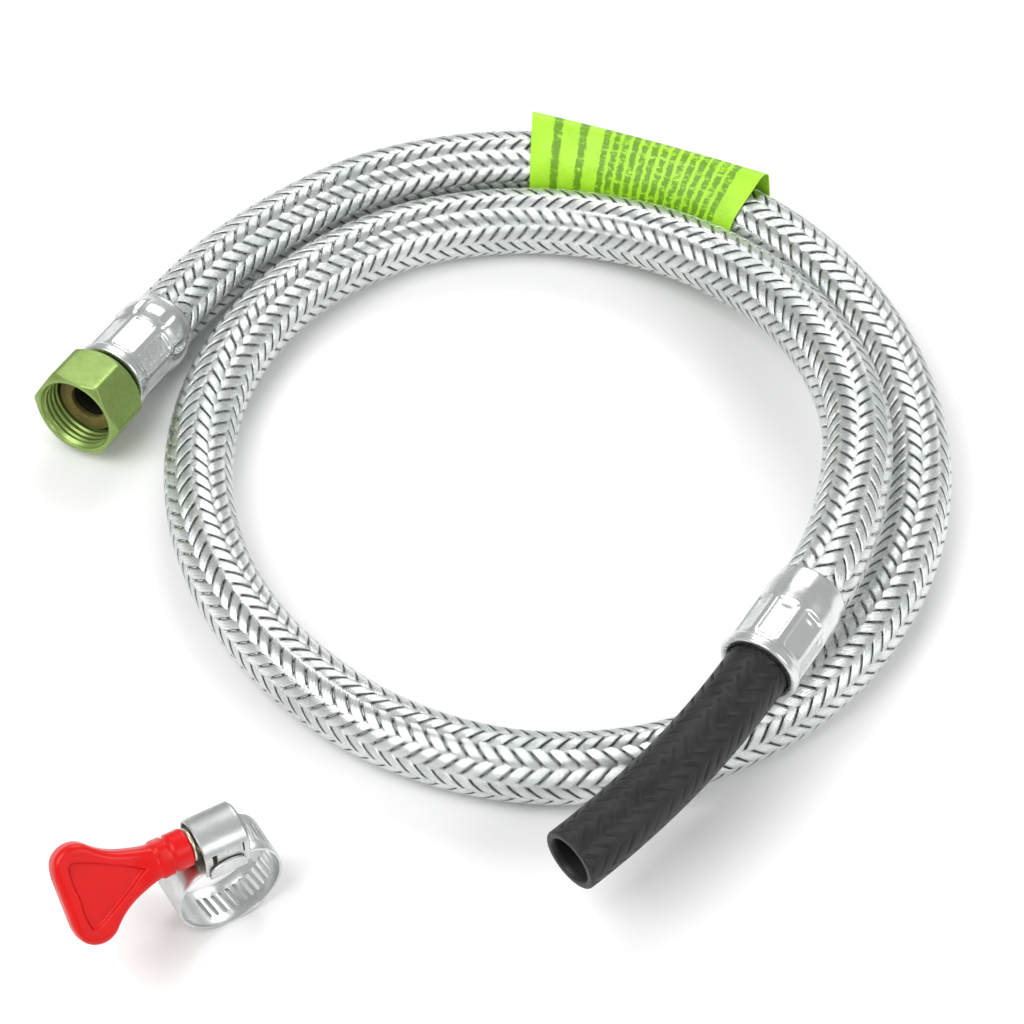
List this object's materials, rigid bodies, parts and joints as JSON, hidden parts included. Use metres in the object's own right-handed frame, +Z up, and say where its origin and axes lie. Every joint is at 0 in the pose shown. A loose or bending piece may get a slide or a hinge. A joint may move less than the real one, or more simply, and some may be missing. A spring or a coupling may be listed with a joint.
{
  "type": "braided hose with worm-drive clamp",
  "caption": "Coiled wire-braided water hose with a brass swivel nut, crimped ferrules and a bare rubber stub, and a worm-drive hose clamp with a wing key beside it.",
  "frame": {"origin": "centre of the bottom of the bounding box, on the plane the coil and clamp stand on", "axes": "+Z up, the coil lies in the XY plane, the clamp stands on the -X, -Y side"},
  "size_m": [0.2482, 0.2874, 0.042],
  "materials": {
    "rubber": "satin black rubber",
    "braid_wire": "bright woven stainless wire",
    "label": "bright yellow-green printed film",
    "brass": "machined brass with a greenish cast",
    "gasket": "matt olive-brown fibre rubber",
    "ferrule_steel": "satin stainless steel, crimped",
    "clamp_steel": "brushed stainless strip",
    "zinc": "yellow zinc plate",
    "key_red": "semi-gloss red moulded plastic"
  },
  "bodies": {
    "hose": {"inner_hose": "rubber", "wire_braid": "braid_wire", "hose_tail": "brass", "ferrule_nut_end": "ferrule_steel", "ferrule_stub_end": "ferrule_steel", "flat_gasket": "gasket"},
    "nut": {"swivel_nut": "brass"},
    "label": {"label_sleeve": "label"},
    "clamp": {"clamp_housing": "clamp_steel", "clamp_saddle": "clamp_steel", "band_head": "clamp_steel"},
    "screw": {"worm_screw": "zinc", "wing_key": "key_red"},
    "side_band": {"band_side": "clamp_steel"},
    "tail_band": {"band_tail": "clamp_steel"}
  },
  "joints": [
    {"name": "nut_spin", "type": "hinge", "parent": "hose", "child": "nut", "pos_m": [-0.10911, 0.03774, 0.01516], "axis": [-0.4705, -0.8739, 0.1221], "continuous": true},
    {"name": "label_slide", "type": "hinge", "parent": "hose", "child": "label", "pos_m": [0.00533, 0.02505, 0.0107], "axis": [0, 0, 1], "range_deg": [-3, 3]},
    {"name": "clamp_lift", "type": "slide", "parent": "hose", "child": "clamp", "axis": [0, 0, 1], "range_m": [0, 0.1]},
    {"name": "screw_turn", "type": "hinge", "parent": "clamp", "child": "screw", "pos_m": [-0.06616, -0.11596, 0.03045], "axis": [0.866, 0.5, 0], "range_deg": [0, 360]},
    {"name": "band_close", "type": "hinge", "parent": "clamp", "child": "side_band", "pos_m": [-0.05783, -0.11115, 0.00424], "axis": [0.5, -0.866, 0], "range_deg": [0, 6.4]},
    {"name": "band_feed", "type": "hinge", "parent": "side_band", "child": "tail_band", "pos_m": [-0.05693, -0.11063, 0.02305], "axis": [0.5, -0.866, 0], "range_deg": [-6.4, 0]}
  ],
  "couplings": [
    {"joint": "band_close", "follows": "screw_turn", "ratio": 0.017749},
    {"joint": "band_feed", "follows": "screw_turn", "ratio": -0.017749}
  ]
}
